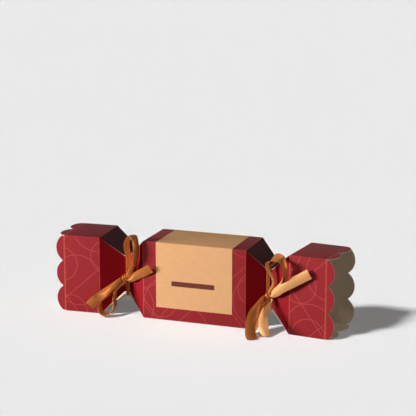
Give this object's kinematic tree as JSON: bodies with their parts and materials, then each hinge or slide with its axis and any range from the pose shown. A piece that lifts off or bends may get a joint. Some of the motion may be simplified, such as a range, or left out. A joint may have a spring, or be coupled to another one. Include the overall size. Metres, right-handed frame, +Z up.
{
  "type": "cracker-shaped gift carton",
  "caption": "Rectangular folding-carton tube pinched at two bow-tied necks, with scalloped flaps at both open ends, a paper label round the middle and a filled pouch inside.",
  "frame": {"origin": "on the surface that the carton stands on, below the middle of the main box", "axes": "+X along the carton, to the viewer's right; +Y away from the viewer; +Z up"},
  "size_m": [0.3061, 0.0928, 0.0873],
  "materials": {
    "printed_board": "matte printed paperboard",
    "kraft_paper": "uncoated kraft paper",
    "satin_ribbon": "satin",
    "pouch_film": "soft plastic film"
  },
  "bodies": {
    "carton": {"main_front_panel": "printed_board", "main_back_panel": "printed_board", "main_top_panel": "printed_board", "main_bottom_panel": "printed_board", "main_glue_flap": "printed_board", "wrap_label": "kraft_paper", "treat_pouch": "pouch_film", "left_inner_taper_front": "printed_board", "left_inner_taper_back": "printed_board", "left_inner_taper_top": "printed_board", "left_inner_taper_bottom": "printed_board", "left_neck_strip_front": "printed_board", "left_neck_strip_back": "printed_board", "left_neck_strip_top": "printed_board", "left_neck_strip_bottom": "printed_board", "right_inner_taper_front": "printed_board", "right_inner_taper_back": "printed_board", "right_inner_taper_top": "printed_board", "right_inner_taper_bottom": "printed_board", "right_neck_strip_front": "printed_board", "right_neck_strip_back": "printed_board", "right_neck_strip_top": "printed_board", "right_neck_strip_bottom": "printed_board", "left_knotted_band": "satin_ribbon", "left_bow_upper_loop": "satin_ribbon", "left_bow_lower_loop": "satin_ribbon", "left_bow_tail_left": "satin_ribbon", "left_bow_tail_right": "satin_ribbon", "right_knotted_band": "satin_ribbon", "right_bow_upper_loop": "satin_ribbon", "right_bow_lower_loop": "satin_ribbon", "right_bow_tail_left": "satin_ribbon", "right_bow_tail_right": "satin_ribbon"},
    "left_end": {"left_outer_taper_front": "printed_board", "left_outer_taper_back": "printed_board", "left_outer_taper_top": "printed_board", "left_outer_taper_bottom": "printed_board", "left_end_front_panel": "printed_board", "left_end_back_panel": "printed_board", "left_end_top_panel": "printed_board", "left_end_bottom_panel": "printed_board", "left_end_glue_flap": "printed_board"},
    "right_end": {"right_outer_taper_front": "printed_board", "right_outer_taper_back": "printed_board", "right_outer_taper_top": "printed_board", "right_outer_taper_bottom": "printed_board", "right_end_front_panel": "printed_board", "right_end_back_panel": "printed_board", "right_end_top_panel": "printed_board", "right_end_bottom_panel": "printed_board", "right_end_glue_flap": "printed_board"},
    "left_front_flap": {"left_flap_front": "printed_board"},
    "left_back_flap": {"left_flap_back": "printed_board"},
    "left_top_flap": {"left_flap_top": "printed_board"},
    "left_bottom_flap": {"left_flap_bottom": "printed_board"},
    "right_front_flap": {"right_flap_front": "printed_board"},
    "right_back_flap": {"right_flap_back": "printed_board"},
    "right_top_flap": {"right_flap_top": "printed_board"},
    "right_bottom_flap": {"right_flap_bottom": "printed_board"}
  },
  "joints": [
    {"name": "left_end_swing", "type": "hinge", "parent": "carton", "child": "left_end", "pos_m": [-0.076, 0, 0.04025], "axis": [0, 0, -1], "range_deg": [-2, 5]},
    {"name": "right_end_swing", "type": "hinge", "parent": "carton", "child": "right_end", "pos_m": [0.076, 0, 0.04025], "axis": [0, 0, 1], "range_deg": [-2, 5]},
    {"name": "left_front_flap_fold", "type": "hinge", "parent": "left_end", "child": "left_front_flap", "pos_m": [-0.14054, -0.03173, 0.04025], "axis": [0, 0, -1], "range_deg": [-25, 90]},
    {"name": "left_back_flap_fold", "type": "hinge", "parent": "left_end", "child": "left_back_flap", "pos_m": [-0.14409, 0.02315, 0.04025], "axis": [0, 0, 1], "range_deg": [-25, 90]},
    {"name": "left_top_flap_fold", "type": "hinge", "parent": "left_end", "child": "left_top_flap", "pos_m": [-0.14151, -0.00424, 0.08], "axis": [0.0645, -0.9979, 0], "range_deg": [-25, 90]},
    {"name": "left_bottom_flap_fold", "type": "hinge", "parent": "left_end", "child": "left_bottom_flap", "pos_m": [-0.14151, -0.00424, 0.0005], "axis": [-0.0645, 0.9979, 0], "range_deg": [0, 90]},
    {"name": "right_front_flap_fold", "type": "hinge", "parent": "right_end", "child": "right_front_flap", "pos_m": [0.13879, -0.03506, 0.04025], "axis": [0, 0, 1], "range_deg": [-25, 90]},
    {"name": "right_back_flap_fold", "type": "hinge", "parent": "right_end", "child": "right_back_flap", "pos_m": [0.14521, 0.01956, 0.04025], "axis": [0, 0, -1], "range_deg": [-25, 90]},
    {"name": "right_top_flap_fold", "type": "hinge", "parent": "right_end", "child": "right_top_flap", "pos_m": [0.1412, -0.00766, 0.08], "axis": [0.1167, 0.9932, 0], "range_deg": [-25, 90]},
    {"name": "right_bottom_flap_fold", "type": "hinge", "parent": "right_end", "child": "right_bottom_flap", "pos_m": [0.1412, -0.00766, 0.0005], "axis": [-0.1167, -0.9932, 0], "range_deg": [0, 90]}
  ]
}
